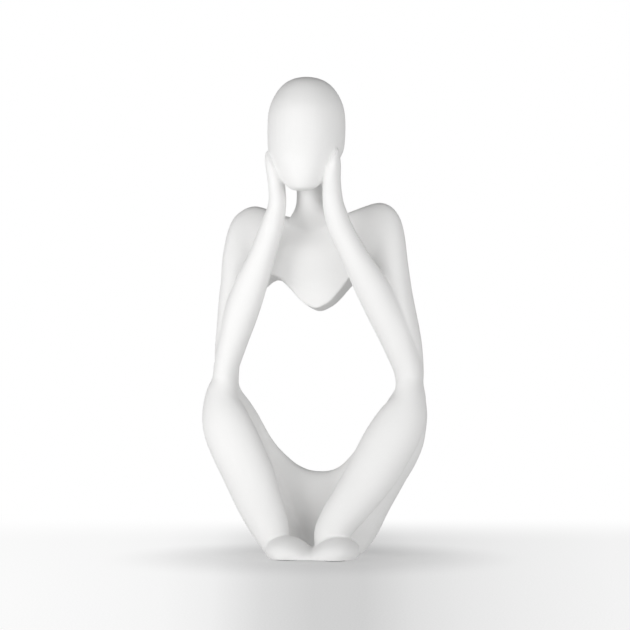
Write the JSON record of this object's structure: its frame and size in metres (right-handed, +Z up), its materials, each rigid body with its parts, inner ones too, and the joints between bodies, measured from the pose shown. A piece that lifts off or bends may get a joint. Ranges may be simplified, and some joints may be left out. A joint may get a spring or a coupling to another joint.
{
  "type": "thinker statue",
  "caption": "Abstract faceless seated figure in matt white cast resin, elbows on knees and hands on cheeks, open between chest and lap.",
  "frame": {"origin": "middle of the figure's footprint at floor level: the bottom centre of its bounding box", "axes": "+Z up, +Y to the figure's back, +X to the right of someone who looks at its front; the figure faces -Y"},
  "size_m": [0.1254, 0.0862, 0.262],
  "materials": {
    "cast_resin": "matte",
    "dowel_steel": "satin",
    "pad_felt": "matte"
  },
  "bodies": {
    "root": {"head": "cast_resin", "torso": "cast_resin", "left_arm": "cast_resin", "right_arm": "cast_resin", "legs": "cast_resin", "neck_dowel": "dowel_steel", "left_shoulder_dowel": "dowel_steel", "right_shoulder_dowel": "dowel_steel", "left_elbow_dowel": "dowel_steel", "right_elbow_dowel": "dowel_steel", "left_foot_pad": "pad_felt", "right_foot_pad": "pad_felt", "left_seat_pad": "pad_felt", "right_seat_pad": "pad_felt"}
  },
  "joints": []
}
